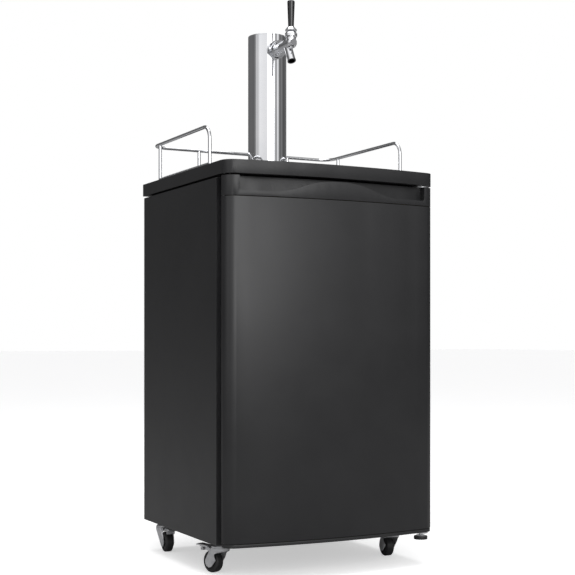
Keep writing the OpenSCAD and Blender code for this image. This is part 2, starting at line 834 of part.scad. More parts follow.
module tower_cap() {
    color(CHROME) {
        rod_z(0, tower_y, tower_top - 2, tower_top, tower_r);
        difference() {
            rod_z(0, tower_y, tower_top - 12, tower_top - 2, tower_r - tower_t);
            rod_z(0, tower_y, tower_top - 12 - past, tower_top - 2, tower_r - tower_t - 2);
        }
    }
}

module tower_insulation() {
    color([0.25, 0.25, 0.27]) difference() {
        rod_z(0, tower_y, worktop_z + tower_flange_t + collar_h, shank_z - 32, tower_r - tower_t - seat_gap);
        rod_z(0, tower_y, worktop_z, shank_z, passage_r - 4);
    }
}

// ---------------------------------------------------------------- shank

shank_back = tower_y + 14;

// Bored tube through the column, with a barbed tail for the beer line.
module shank() {
    color(CHROME) difference() {
        union() {
            rod_y(0, shank_z, barrel_back + seat_gap, shank_back, shank_r);
            rod_y(0, shank_z, shank_back, shank_back + 10, 6.5);
        }
        rod_y(0, shank_z, nut_front - past, shank_back + 10 + past, shank_bore_r);
    }
}

// Saddle ring whose back follows the round column.
module shank_flange() {
    color(CHROME) difference() {
        rod_y(0, shank_z, tower_face - saddle_t, tower_face + 6, shank_flange_r);
        rod_y(0, shank_z, tower_face - saddle_t - past, tower_face + 6 + past, shank_r);
        rod_z(0, tower_y, shank_z - 30, shank_z + 30, tower_r);
    }
}

module shank_nut() {
    y0 = tower_y - sqrt(pow(tower_r - tower_t, 2) - pow(16, 2)) + seat_gap;
    color([0.72, 0.6, 0.3]) difference() {
        translate([0, y0, shank_z]) rotate([-90, 0, 0]) cylinder(h = 7, r = 15.5, $fn = 6);
        rod_y(0, shank_z, y0 - past, y0 + 7 + past, shank_r);
    }
}

// Ring nut that pulls the faucet on to the shank, with spanner holes.
module coupling_nut() {
    y1 = tower_face - saddle_t - seat_gap;
    color(CHROME) difference() {
        union() {
            rod_y(0, shank_z, nut_front, y1, nut_r - 2);
            rod_y(0, shank_z, nut_front + 2, y1 - 4, nut_r);
        }
        rod_y(0, shank_z, barrel_back, y1 + past, shank_r);
        rod_y(0, shank_z, nut_front - past, barrel_back, barrel_r);
        for (a = [30:60:330]) {
            translate([0, nut_front + 7.5, shank_z]) rotate([0, a, 0]) {
                translate([0, 0, nut_r - 3.5]) cylinder(h = 5, r = 2.6);
            }
        }
    }
}

// ---------------------------------------------------------------- faucet

// Along the spout: from the barrel's axis down and forward to the mouth.
module spout_place() {
    translate([0, lever_y - 3 + spout_drop * tan(spout_lean), shank_z]) rotate([-spout_lean, 0, 0]) {
        rotate([180, 0, 0]) children();
    }
}

module faucet_body() {
    spout_l = spout_drop / cos(spout_lean);
    color(CHROME) difference() {
        union() {
            rod_y(0, shank_z, nose_front + 9, barrel_back, barrel_r);
            translate([0, nose_front + 9, shank_z]) rotate([90, 0, 0]) rotate_extrude() {
                intersection() {
                    translate([0, -2]) circle(barrel_r + 0.2);
                    square([barrel_r, 9]);
                }
            }
            rod_y(0, shank_z, nose_front - 1, nose_front + 4, 6.6);
            rod_z(0, lever_y, shank_z, bonnet_low, 10.2);
            spout_place() cylinder(h = spout_l, r = spout_r);
            spout_place() translate([0, 0, spout_l - 3]) cylinder(h = 3, r = spout_r + 0.5);
        }
        rod_y(0, shank_z, lever_y - 8, barrel_back + past, shaft_bore_r);
        rod_z(0, lever_y, shank_z, bonnet_low + past, 7.8);
        spout_place() cylinder(h = spout_l + past, r = spout_r - spout_wall - 1.6);
        spout_place() translate([0, 0, spout_l - outlet_l]) cylinder(h = outlet_l + past, r = spout_r - spout_wall);
    }
}

// Screwed cap with a flared mouth that lets the lever tilt.
module faucet_bonnet() {
    waist = bonnet_h * 0.4;
    color(CHROME) translate([0, lever_y, bonnet_low]) rotate_extrude() {
        polygon([[6.2, 0], [bonnet_r - 2, 0], [bonnet_r, 2], [bonnet_r, waist + 3],
            [bonnet_r - 2.6, bonnet_h - 0.6], [bonnet_r - 3.2, bonnet_h], [7.8, bonnet_h], [6.2, 6.5]]);
    }
}

// Shaft that the lever's tip pushes back to open the seat.
module faucet_shaft() {
    front = lever_y - collar_gap / 2;
    color(CHROME) {
        difference() {
            rod_y(0, shank_z, front - 3, front + collar_gap + 3, shaft_bore_r - 0.4);
            box([-shaft_bore_r, front, shank_z - 4.4], [shaft_bore_r, front + collar_gap, shank_z + 9]);
            box([-shaft_bore_r, front - 3 - past, shank_z + 3], [shaft_bore_r, front + collar_gap + 4, shank_z + 9]);
        }
        rod_y(0, shank_z, lever_y + collar_gap / 2 + 2.9, barrel_back - 9, 2.6);
        rod_y(0, shank_z, barrel_back - 9, barrel_back - 6, 5.6);
    }
}

// Steel lever: its tip in the shaft, its ball in the bonnet, its collar above.
module faucet_lever() {
    color(CHROME) translate([0, lever_y, 0]) {
        translate([0, 0, shank_z]) sphere(tip_r);
        rod_z(0, 0, shank_z, ball_z, 1.8);
        translate([0, 0, ball_z]) sphere(5.6);
        rod_z(0, 0, ball_z, collar_low, 3.2);
        translate([0, 0, collar_low - 4]) rotate_extrude() {
            polygon([[0, 2.8], [4.6, 2.2], [11.3, 0], [12, 0.8], [11.7, 3], [8.8, 6.2], [7.4, 8],
                [handle_foot_r - 0.6, 9], [0, 9]]);
        }
        rod_z(0, 0, handle_low, handle_low + 15, 3);
    }
}

handle_low = collar_low + 5;

module tap_handle() {
    dome = 2.4;
    color(BLACK_PLASTIC) translate([0, lever_y, handle_low]) difference() {
        rotate_extrude() polygon([[0, 0], [handle_foot_r, 0], [handle_foot_r, 2],
            [handle_top_r, handle_h - dome], [handle_top_r - 0.6, handle_h - 0.8],
            [handle_top_r - 2.2, handle_h], [0, handle_h]]);
        translate([0, 0, -past]) cylinder(h = 15.5 + past, r = 3);
    }
}

// ---------------------------------------------------------------- drip tray

module drip_tray() {
    half = tray_w / 2;
    t = tray_wall;
    color(BLACK_PLASTIC) difference() {
        box([-half, tray_front, tray_low], [half, tray_front + tray_d, tray_low + tray_h]);
        box([-half + t, tray_front + t, tray_low + t],
            [half - t, tray_front + tray_d - t, tray_low + tray_h - grille_t]);
        box([-half + 1, tray_front + 1, tray_low + tray_h - grille_t],
            [half - 1, tray_front + tray_d - 1, tray_low + tray_h + past]);
    }
}

// Slotted plate that rests on the tray's inner ledge.
module drip_grille() {
    half = tray_w / 2 - 1 - seat_gap;
    y0 = tray_front + 1 + seat_gap;
    y1 = tray_front + tray_d - 1 - seat_gap;
    z = tray_low + tray_h - grille_t;
    slots = floor((y1 - y0 - 16) / 8);
    color(ZINC) difference() {
        box([-half, y0, z], [half, y1, z + grille_t]);
        for (i = [0:slots - 1], s = [-1, 1]) {
            y = y0 + 10 + i * 8;
            box([s > 0 ? 5 : -half + 10, y, z - past], [s > 0 ? half - 10 : -5, y + 4, z + grille_t + past]);
        }
    }
}

// ---------------------------------------------------------------- door

module door_plan(inset = 0) {
    bow_plan(door_w, corner_y, door_rear, door_corner_r, inset);
}

// Outer skin: a bowed steel pan, open to the back.
module door_panel() {
    color(BLACK_PAINT) translate([0, 0, panel_low]) linear_extrude(panel_top - panel_low) difference() {
        door_plan();
        bow_plan(door_w, corner_y, door_rear + past, door_corner_r, door_skin);
    }
}

module door_insulation() {
    color(FOAM) difference() {
        union() {
            translate([0, 0, panel_low]) linear_extrude(panel_top - panel_low) difference() {
                bow_plan(door_w, corner_y, door_rear, door_corner_r, door_skin);
                translate([-door_w / 2, door_rear - liner_t]) square([door_w, liner_t]);
            }
            box([-liner_half + liner_t, door_rear - liner_t, liner_low + liner_t],
                [liner_half - liner_t, gasket_front - liner_t, liner_high - liner_t]);
        }
        rod_z(hinge_x, hinge_y, panel_low - past, door_low + pin_depth + 1, bush_r);
        rod_z(hinge_x, hinge_y, door_top - pin_depth - 1, door_top, bush_r);
        box([-door_w, corner_y - front_bow - past, panel_top], [door_w, door_rear, door_top + past]);
    }
}

// Inner liner: a flange against the pan's edges and a raised panel.
module door_liner() {
    flange_half = door_w / 2 - door_skin - seat_gap;
    color(LINER) difference() {
        union() {
            translate([0, 0, panel_low]) linear_extrude(panel_top - panel_low) intersection() {
                door_plan(door_skin + seat_gap);
                translate([-flange_half, door_rear - liner_t]) square([2 * flange_half, liner_t]);
            }
            box([-liner_half, door_rear - liner_t, liner_low], [liner_half, gasket_front, liner_high]);
        }
        box([-liner_half + liner_t, door_rear - liner_t - past, liner_low + liner_t],
            [liner_half - liner_t, gasket_front - liner_t, liner_high - liner_t]);
        box([-door_w, door_rear - liner_t - past, panel_top], [door_w, door_rear, door_top]);
        box([-door_w, door_rear - liner_t - past, door_low], [door_w, door_rear, panel_low]);
        rod_z(hinge_x, hinge_y, door_low, door_low + pin_depth + 1, bush_r);
        rod_z(hinge_x, hinge_y, door_top - pin_depth - 1, door_top, bush_r);
    }
}

module door_gasket() {
    lip = 1;
    color([0.2, 0.2, 0.21]) difference() {
        box([-liner_half + lip, gasket_front, liner_low + lip],
            [liner_half - lip, gasket_front + gasket_t, liner_high - lip]);
        box([-liner_half + lip + gasket_w, gasket_front - past, liner_low + lip + gasket_w],
            [liner_half - lip - gasket_w, gasket_front + gasket_t + past, liner_high - lip - gasket_w]);
    }
}

// Height of the trim's front edge above its bottom edge at distance x from
// the door's middle: a crest that falls in a soft wave to the flat lips.
function wave(x) = lip_h + (crest_h - lip_h) * (0.5 + 0.5 * cos(180 * pow(abs(x) / wave_w, 1.3)));

trim_low = door_top - trim_h;

// Front view of the space over the wave, between the pockets' outer walls.
module wave_space() {
    half = door_w / 2 - pocket_side;
    r = 6;
    steps = ceil(wave_w / 6);
    xs = [for (i = [-steps:steps]) i * wave_w / steps];
    polygon(concat([[half, trim_h + past]],
        [for (a = [0:15:90]) [half - r + r * cos(a), lip_h + r - r * sin(a)]],
        [for (i = [len(xs) - 1:-1:0]) [xs[i], wave(xs[i])]],
        [for (a = [90:-15:0]) [-half + r - r * cos(a), lip_h + r - r * sin(a)]],
        [[-half, trim_h + past]]));
}

// Top trim with two scooped finger pockets joined over a wave-shaped lip.
module handle_trim() {
    front = corner_y - front_bow;
    color(BLACK_PLASTIC) difference() {
        translate([0, 0, trim_low]) linear_extrude(trim_h) door_plan();
        translate([0, 0, trim_low]) intersection() {
            translate([0, 0, -past]) linear_extrude(trim_h + 2 * past) difference() {
                translate([-door_w, front - 20]) square([2 * door_w, 200]);
                bow_plan(door_w, corner_y, door_rear, door_corner_r, pocket_d);
            }
            translate([0, door_rear - 4, 0]) rotate([90, 0, 0]) linear_extrude(80) wave_space();
        }
        rod_z(hinge_x, hinge_y, door_top - pin_depth - 1, door_top + past, bush_r);
    }
}

module bottom_cap() {
    color(BLACK_PLASTIC) difference() {
        translate([0, 0, door_low]) linear_extrude(cap_h - seam_w) door_plan(0.8);
        rod_z(hinge_x, hinge_y, door_low - past, panel_low, bush_r);
    }
}

// ---------------------------------------------------------------- casters

stem_top_h = 12;

module at_caster(i) {
    translate([CASTERS[i][1], CASTERS[i][2], 0]) rotate(-CASTERS[i][3]) children();
}

// Threaded stems with nut, swivel plate and the rivet head under each fork.
module caster_stems() {
    plate_low = swivel_top + moving_gap / 2;
    color(ZINC) for (i = [0:3]) at_caster(i) {
        rod_z(0, 0, swivel_top - 3 - moving_gap - 2.6, base_z + stem_top_h, stem_r);
        rod_z(0, 0, swivel_top - 3 - moving_gap - 2.6, swivel_top - 3 - moving_gap, stem_r + 2.6);
        rod_z(0, 0, plate_low, plate_low + 2.7, fork_r - 1);
        translate([0, 0, plate_low + 2.7]) cylinder(h = base_z - plate_low - 2.7, r = 10, $fn = 6);
        translate([0, 0, base_z + pan_t]) cylinder(h = 5, r = 9, $fn = 6);
    }
}

// Hooded sheet-metal fork with its riveted axle; the wheel trails along +Y.
module fork(i, braked) {
    leg_r = 10.5;
    outer_w = fork_gap + 2 * fork_t;
    color(ZINC) at_caster(i) {
        difference() {
            union() {
                hull() {
                    rod_z(0, 0, swivel_top - 5, swivel_top, fork_r);
                    rod_x(trail, wheel_r, -outer_w / 2, outer_w / 2, leg_r);
                }
                if (braked) hull() {
                    rod_x(brake_t, brake_z, -outer_w / 2, outer_w / 2, brake_pin_r + 2);
                    rod_x(trail - 6, brake_z - 4, -outer_w / 2, outer_w / 2, 3);
                }
            }
            hull() {
                rod_z(0, 0, swivel_top - 12, swivel_top - 3, fork_r - fork_t);
                rod_x(trail, wheel_r, -fork_gap / 2, fork_gap / 2, leg_r - fork_t);
            }
            rod_x(trail, wheel_r, -fork_gap / 2, fork_gap / 2, wheel_r + 2.5);
            if (braked) {
                box([-fork_gap / 2, trail - 4, brake_z - 9], [fork_gap / 2, brake_t + 20, swivel_top + 5]);
                rod_x(brake_t, brake_z, -outer_w, outer_w, brake_pin_r + running);
            }
            rod_z(0, 0, swivel_top - 20, swivel_top + past, stem_r + running);
        }
        rod_x(trail, wheel_r, -outer_w / 2 - 1.4, outer_w / 2 + 1.4, axle_r);
        for (s = [-1, 1]) rod_x(trail, wheel_r, s * (outer_w / 2 + 0.7) - 0.7, s * (outer_w / 2 + 0.7) + 0.7, 4.6);
    }
}

// Wheel with rounded tread edges, dished sides and a bored hub.
module wheel(i) {
    edge = 4;
    color(RUBBER) at_caster(i) translate([0, trail, wheel_r]) rotate([0, 90, 0]) difference() {
        union() {
            rotate_extrude($fn = 72) {
                translate([wheel_r - edge, 0]) {
                    for (s = [-1, 1]) translate([0, s * (wheel_w / 2 - edge)]) circle(edge);
                    translate([0, -wheel_w / 2 + edge]) square([edge, wheel_w - 2 * edge]);
                }
                translate([axle_r + running, -wheel_w / 2]) square([wheel_r - edge - axle_r - running, wheel_w]);
            }
            cylinder(h = fork_gap - 2 * moving_gap, r = 5.5, center = true);
        }
        cylinder(h = fork_gap, r = axle_r + running, center = true);
        for (s = [-1, 1]) translate([0, 0, s * wheel_w / 2]) difference() {
            cylinder(h = 3, r = wheel_r - 6, center = true);
            cylinder(h = 4, r = 7.5, center = true);
        }
    }
}

// Brake pedal: a bent plate on a cross pin, with a hooked tread end.
module brake(i) {
    plate_w = fork_gap - 2 * moving_gap - 4;
    tip_t = brake_t + 36;
    color(ZINC) at_caster(i) {
        rod_x(brake_t, brake_z, -fork_gap / 2 - fork_t, fork_gap / 2 + fork_t, brake_pin_r);
        difference() {
            along_x(-plate_w / 2, plate_w / 2) {
                translate([brake_t, brake_z]) circle(brake_pin_r + 1.6);
                polygon([[brake_t, brake_z + 3.2], [tip_t - 2, brake_z + 4.6], [tip_t, brake_z + 1.4],
                    [tip_t - 3, brake_z + 1.8], [tip_t - 9, brake_z + 2], [brake_t + 19, brake_z - 1.2],
                    [brake_t + 16, brake_z + 0.6], [brake_t, brake_z + 0.6]]);
                translate([brake_t + 19, brake_z - 3.6]) circle(3.4);
            }
            rod_x(brake_t + 19.4, brake_z - 3.6, -plate_w, plate_w, 1.3);
        }
    }
}

// ---------------------------------------------------------------- assembly

left_side_panel();
right_side_panel();
top_panel();
back_panel();
base_pan();
foam_insulation();
inner_liner();
keg_plate();
evaporator();
thermostat_housing();
thermostat_knob();
compressor();
compressor_mounts();
relay_cover();
condenser();
drain_pan();
cable_gland();
gas_port_grommet();
lower_hinge_bracket();
upper_hinge_bracket();
hinge_pins();
leveling_foot();
worktop();
guard_rail();
rail_grommets();
tower_flange();
tower_screws();
tower_column();
tower_cap();
tower_insulation();
shank();
shank_flange();
shank_nut();
coupling_nut();
faucet_body();
faucet_bonnet();
faucet_shaft();
faucet_lever();
tap_handle();
drip_tray();
drip_grille();
door_panel();
handle_trim();
bottom_cap();
door_liner();
door_gasket();
door_insulation();
hinge_bushes();
caster_stems();
fork(0, true);  // fork_front_left
fork(1, false);  // fork_front_right
fork(2, true);  // fork_rear_left
fork(3, false);  // fork_rear_right
wheel(0);  // wheel_front_left
wheel(1);  // wheel_front_right
wheel(2);  // wheel_rear_left
wheel(3);  // wheel_rear_right
brake(0);  // brake_front_left
brake(2);  // brake_rear_left
panel_screws();
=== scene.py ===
import json
import math
import bpy
import bmesh
from mathutils import Matrix, Vector


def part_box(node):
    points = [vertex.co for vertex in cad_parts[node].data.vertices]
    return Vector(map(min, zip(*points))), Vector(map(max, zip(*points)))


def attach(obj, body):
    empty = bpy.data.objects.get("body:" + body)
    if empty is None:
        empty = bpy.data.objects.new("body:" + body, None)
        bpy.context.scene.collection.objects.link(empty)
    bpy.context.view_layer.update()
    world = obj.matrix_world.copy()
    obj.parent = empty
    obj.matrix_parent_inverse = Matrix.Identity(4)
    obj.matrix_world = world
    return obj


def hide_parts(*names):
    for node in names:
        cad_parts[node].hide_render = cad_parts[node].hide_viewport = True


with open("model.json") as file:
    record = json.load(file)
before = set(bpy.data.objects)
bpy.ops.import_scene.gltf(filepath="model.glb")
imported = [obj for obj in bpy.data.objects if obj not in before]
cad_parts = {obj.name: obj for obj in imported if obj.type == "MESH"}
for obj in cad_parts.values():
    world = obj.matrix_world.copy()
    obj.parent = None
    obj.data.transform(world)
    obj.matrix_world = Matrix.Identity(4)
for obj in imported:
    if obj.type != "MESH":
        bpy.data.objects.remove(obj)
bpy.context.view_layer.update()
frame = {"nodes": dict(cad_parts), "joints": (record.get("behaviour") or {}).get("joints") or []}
nodes = frame["nodes"]
scene = bpy.context.scene

# The camera looks this many degrees to the right of straight back.
CAMERA_TURN = 27.14


# ------------------------------------------------------------- materials
def add(tree, kind, x, y, **values):
    """Adds a node at x, y and sets its named attributes."""
    node = tree.nodes.new(kind)
    node.location = (x, y)
    for key, value in values.items():
        setattr(node, key, value)
    return node


def surface(name, dark, light, rough, metal=0.0, grain=900.0, bump=0.15, stretch=(1, 1, 1),
            patch=9.0, coat=0.0, spec=0.5, sheen=0.0, scratch=0.0):
    """A material with a fine grain in its bump, patches in its colour and
    roughness, and optional fine scratches."""
    mat = bpy.data.materials.new(name)
    mat.use_nodes = True
    tree = mat.node_tree
    tree.nodes.clear()
    link = tree.links.new
    out = add(tree, "ShaderNodeOutputMaterial", 900, 0)
    shader = add(tree, "ShaderNodeBsdfPrincipled", 600, 0)
    shader.inputs["Metallic"].default_value = metal
    shader.inputs["Specular IOR Level"].default_value = spec
    shader.inputs["Coat Weight"].default_value = coat
    shader.inputs["Coat Roughness"].default_value = 0.12
    shader.inputs["Sheen Weight"].default_value = sheen
    link(shader.outputs[0], out.inputs[0])
    place = add(tree, "ShaderNodeTexCoord", -900, 0)
    scale = add(tree, "ShaderNodeMapping", -700, 0)
    scale.inputs["Scale"].default_value = stretch
    link(place.outputs["Object"], scale.inputs[0])
    fine = add(tree, "ShaderNodeTexNoise", -450, -250)
    fine.inputs["Scale"].default_value = grain
    fine.inputs["Detail"].default_value = 3.0
    link(scale.outputs[0], fine.inputs["Vector"])
    wide = add(tree, "ShaderNodeTexNoise", -450, 150)
    wide.inputs["Scale"].default_value = patch
    wide.inputs["Detail"].default_value = 5.0
    wide.inputs["Roughness"].default_value = 0.62
    link(place.outputs["Object"], wide.inputs["Vector"])
    ramp = add(tree, "ShaderNodeValToRGB", -200, 200)
    ramp.color_ramp.elements[0].position = 0.32
    ramp.color_ramp.elements[0].color = (*dark, 1)
    ramp.color_ramp.elements[1].position = 0.70
    ramp.color_ramp.elements[1].color = (*light, 1)
    link(wide.outputs["Fac"], ramp.inputs[0])
    link(ramp.outputs[0], shader.inputs["Base Color"])
    gloss = add(tree, "ShaderNodeMapRange", -200, -50)
    gloss.inputs["From Min"].default_value = 0.3
    gloss.inputs["From Max"].default_value = 0.7
    gloss.inputs["To Min"].default_value = rough[0]
    gloss.inputs["To Max"].default_value = rough[1]
    link(wide.outputs["Fac"], gloss.inputs[0])
    source = gloss.outputs[0]
    if scratch:
        lines = add(tree, "ShaderNodeTexNoise", -450, -550)
        lines.inputs["Scale"].default_value = 60.0
        lines.inputs["Detail"].default_value = 8.0
        turn = add(tree, "ShaderNodeMapping", -700, -550)
        turn.inputs["Scale"].default_value = (1, 1, 24)
        turn.inputs["Rotation"].default_value = (0.3, 0.5, 0.2)
        link(place.outputs["Object"], turn.inputs[0])
        link(turn.outputs[0], lines.inputs["Vector"])
        mark = add(tree, "ShaderNodeMapRange", -200, -550)
        mark.inputs["From Min"].default_value = 0.62
        mark.inputs["From Max"].default_value = 0.72
        mark.inputs["To Max"].default_value = scratch
        link(lines.outputs["Fac"], mark.inputs[0])
        total = add(tree, "ShaderNodeMath", 50, -150, operation="ADD")
        link(gloss.outputs[0], total.inputs[0])
        link(mark.outputs[0], total.inputs[1])
        source = total.outputs[0]
    link(source, shader.inputs["Roughness"])
    relief = add(tree, "ShaderNodeBump", 250, -300)
    relief.inputs["Strength"].default_value = bump
    relief.inputs["Distance"].default_value = 0.0003
    link(fine.outputs["Fac"], relief.inputs["Height"])
    link(relief.outputs[0], shader.inputs["Normal"])
    return mat


paint = surface("satin_black_paint", (0.013, 0.013, 0.014), (0.017, 0.017, 0.018), (0.34, 0.40),
                grain=1400, bump=0.10, scratch=0.05)
plastic = surface("black_plastic", (0.014, 0.014, 0.015), (0.019, 0.019, 0.020), (0.36, 0.44),
                  grain=2200, bump=0.16)
gloss_black = surface("gloss_black_plastic", (0.006, 0.006, 0.007), (0.010, 0.010, 0.011), (0.10, 0.16),
                      grain=700, bump=0.03, coat=0.4)
chrome = surface("polished_chrome", (0.80, 0.81, 0.83), (0.90, 0.90, 0.91), (0.035, 0.075),
                 metal=1.0, grain=300, bump=0.015, scratch=0.04)
satin_chrome = surface("satin_chrome", (0.74, 0.75, 0.76), (0.84, 0.84, 0.85), (0.12, 0.20),
                       metal=1.0, grain=600, bump=0.04, scratch=0.06)
zinc = surface("zinc_plate", (0.62, 0.63, 0.65), (0.78, 0.78, 0.79), (0.28, 0.42),
               metal=0.55, grain=500, bump=0.12, patch=60, scratch=0.1)
brushed = surface("brushed_steel", (0.50, 0.50, 0.51), (0.62, 0.62, 0.62), (0.24, 0.34),
                  metal=1.0, grain=500, stretch=(0.02, 1, 1), bump=0.35, patch=30)
galvanised = surface("galvanised_sheet", (0.46, 0.48, 0.50), (0.66, 0.67, 0.68), (0.3, 0.5),
                     metal=0.85, grain=140, bump=0.1, patch=70)
aluminium = surface("roll_bonded_aluminium", (0.66, 0.67, 0.68), (0.78, 0.78, 0.79), (0.3, 0.42),
                    metal=1.0, grain=260, bump=0.2, patch=20)
rubber = surface("black_rubber", (0.012, 0.012, 0.012), (0.022, 0.022, 0.021), (0.62, 0.78),
                 grain=1600, bump=0.3)
gasket_mat = surface("gasket_vinyl", (0.010, 0.010, 0.011), (0.018, 0.018, 0.018), (0.42, 0.5),
                     grain=900, bump=0.12)
wheel_mat = surface("wheel_rubber", (0.014, 0.014, 0.015), (0.03, 0.03, 0.03), (0.42, 0.6),
                    grain=700, bump=0.2, patch=40)
liner = surface("white_liner", (0.70, 0.71, 0.72), (0.78, 0.78, 0.79), (0.22, 0.3),
                grain=240, bump=0.12, spec=0.4)
foam = surface("cured_foam", (0.62, 0.47, 0.20), (0.80, 0.66, 0.34), (0.8, 0.95),
               grain=420, bump=0.8, patch=40)
sleeve = surface("foam_sleeve", (0.03, 0.03, 0.032), (0.05, 0.05, 0.052), (0.8, 0.9),
                 grain=800, bump=0.5)
enamel = surface("black_enamel", (0.008, 0.008, 0.009), (0.016, 0.016, 0.017), (0.2, 0.34),
                 grain=200, bump=0.2)
brass = surface("turned_brass", (0.62, 0.44, 0.18), (0.78, 0.60, 0.30), (0.2, 0.34),
                metal=1.0, grain=500, bump=0.1, patch=50)

LOOKS = {
    paint: "left_side_panel right_side_panel door_panel top_panel back_panel base_pan",
    plastic: "worktop handle_trim bottom_cap relay_cover drain_pan cable_gland rail_grommets drip_tray leveling_foot",
    gloss_black: "tap_handle",
    chrome: "tower_column tower_cap tower_flange tower_screws shank shank_flange coupling_nut faucet_body "
            "faucet_bonnet faucet_lever guard_rail",
    satin_chrome: "hinge_pins faucet_shaft",
    zinc: "lower_hinge_bracket upper_hinge_bracket panel_screws caster_stems fork_front_left fork_front_right "
          "fork_rear_left fork_rear_right brake_front_left brake_rear_left",
    brushed: "drip_grille", galvanised: "keg_plate", aluminium: "evaporator",
    rubber: "compressor_mounts gas_port_grommet", gasket_mat: "door_gasket",
    wheel_mat: "wheel_front_left wheel_front_right wheel_rear_left wheel_rear_right",
    liner: "inner_liner door_liner thermostat_housing thermostat_knob hinge_bushes",
    foam: "foam_insulation door_insulation", sleeve: "tower_insulation",
    enamel: "compressor condenser", brass: "shank_nut"}
for mat, names in LOOKS.items():
    for name in names.split():
        ob = nodes[name]
        if not ob.material_slots:
            ob.data.materials.append(mat)
        for material_slot in ob.material_slots:
            material_slot.material = mat


def soften(name, width):
    """Rounds a CAD node's sharp edges without changing its mesh data."""
    ob = nodes[name]
    weld = ob.modifiers.new("weld", "WELD")
    weld.merge_threshold = 0.00001
    edge = ob.modifiers.new("edge", "BEVEL")
    edge.width = width
    edge.segments = 3
    edge.limit_method = "ANGLE"
    edge.angle_limit = math.radians(35)
    edge.harden_normals = True
    edge.use_clamp_overlap = True


for name, width in {"worktop": 0.0012, "handle_trim": 0.0012, "door_panel": 0.0004, "bottom_cap": 0.001,
                    "left_side_panel": 0.0004, "right_side_panel": 0.0004, "tower_cap": 0.0008,
                    "leveling_foot": 0.0012}.items():
    soften(name, width)


# ------------------------------------------------------------- new pieces
def mesh_piece(name, bm, mat, body, smooth=True):
    """Turns bm into an object that rides on body and takes the finish mat."""
    bmesh.ops.recalc_face_normals(bm, faces=bm.faces)
    mesh = bpy.data.meshes.new(name)
    bm.to_mesh(mesh)
    bm.free()
    for face in mesh.polygons:
        face.use_smooth = smooth
    ob = bpy.data.objects.new(name, mesh)
    scene.collection.objects.link(ob)
    mesh.materials.append(mat)
    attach(ob, body)
    return ob


def lathe(bm, profile, place, steps=64, closed=False):
    """Turns a list of (radius, height) about the Z axis of place."""
    rings = []
    for i in range(steps):
        a = 2 * math.pi * i / steps
        rings.append([bm.verts.new(place @ Vector((r * math.cos(a), r * math.sin(a), z))) for r, z in profile])
    count = len(profile)
    for i in range(steps):
        a, b = rings[i], rings[(i + 1) % steps]
        for j in range(count if closed else count - 1):
            k = (j + 1) % count
            bm.faces.new((a[j], b[j], b[k], a[k]))


def frame_loop(bm, half_x, low, high, y, profile):
    """Sweeps a profile of (inward, y) points round a rectangle."""
    corners = [(-1, 0), (1, 0), (1, 1), (-1, 1)]
    rings = []
    for sx, top in corners:
        ring = []
        for inward, dy in profile:
            z = high - inward if top else low + inward
            ring.append(bm.verts.new((sx * (half_x - inward), y + dy, z)))
        rings.append(ring)
    count = len(profile)
    for i in range(4):
        a, b = rings[i], rings[(i + 1) % 4]
        for j in range(count):
            k = (j + 1) % count
            bm.faces.new((a[j], b[j], b[k], a[k]))


# Door gasket: folded bellows with a flat magnet strip against the cabinet.
(_, gy0, gz0), (gx1, gy1, gz1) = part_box("door_gasket")
depth = gy1 - gy0
folds = [(0.0010, 0.0), (0.0004, 0.12), (0.0030, 0.24), (0.0006, 0.37), (0.0034, 0.50), (0.0006, 0.63),
         (0.0030, 0.74), (0.0004, 0.84), (0.0004, 0.98), (0.0010, 1.0), (0.0150, 1.0), (0.0156, 0.98),
         (0.0156, 0.84), (0.0130, 0.74), (0.0154, 0.63), (0.0126, 0.50), (0.0154, 0.37), (0.0130, 0.24),
         (0.0156, 0.12), (0.0150, 0.0)]
bm = bmesh.new()
frame_loop(bm, gx1, gz0, gz1, gy0, [(i, t * depth) for i, t in folds])
bellows = mesh_piece("gasket_bellows", bm, gasket_mat, "door", smooth=False)
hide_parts("door_gasket")

# Knurled band round the faucet's bonnet.
(bx0, by0, bz0), (bx1, by1, _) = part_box("faucet_bonnet")
bonnet_r = (bx1 - bx0) / 2
centre = Vector(((bx0 + bx1) / 2, (by0 + by1) / 2, bz0))
bm = bmesh.new()
teeth = 44
tooth_depth = 0.00045
tooth_stand = 0.00002
rings = []
for z, cut in [(0.0024, 0.0012), (0.0030, 0.0), (0.0072, 0.0), (0.0078, 0.0012)]:
    ring = []
    for i in range(teeth * 4):
        a = 2 * math.pi * i / (teeth * 4)
        r = bonnet_r - cut - (tooth_depth if i % 4 in (0, 1) else 0.0) + tooth_stand
        ring.append(bm.verts.new(centre + Vector((r * math.cos(a), r * math.sin(a), z))))
    rings.append(ring)
for a, b in zip(rings, rings[1:]):
    for i in range(len(a)):
        k = (i + 1) % len(a)
        bm.faces.new((a[i], a[k], b[k], b[i]))
mesh_piece("bonnet_knurl", bm, chrome, "cabinet", smooth=False)

# Threaded stud between the levelling foot and its hinge bracket.
(lx0, ly0, lz0), (lx1, ly1, _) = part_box("leveling_foot")
foot_x, foot_y = (lx0 + lx1) / 2, (ly0 + ly1) / 2
foot_height = 0.0061
stud_low = lz0 + foot_height
thread_root, thread_crest, half_pitch = 0.00302, 0.0034, 0.0005
bm = bmesh.new()
profile = [(thread_root if i % 2 else thread_crest, stud_low + i * half_pitch) for i in range(13)]
lathe(bm, profile, Matrix.Translation((foot_x, foot_y, 0)), 40)
mesh_piece("foot_stud_thread", bm, zinc, "foot")
bm = bmesh.new()
lathe(bm, [(0.0034, 0), (0.0085, 0), (0.0092, 0.0006), (0.0092, 0.0016), (0.0085, 0.0022), (0.0034, 0.0022)],
      Matrix.Translation((foot_x, foot_y, stud_low - 0.0001)), 6, closed=True)
mesh_piece("foot_lock_nut", bm, zinc, "foot", smooth=False)
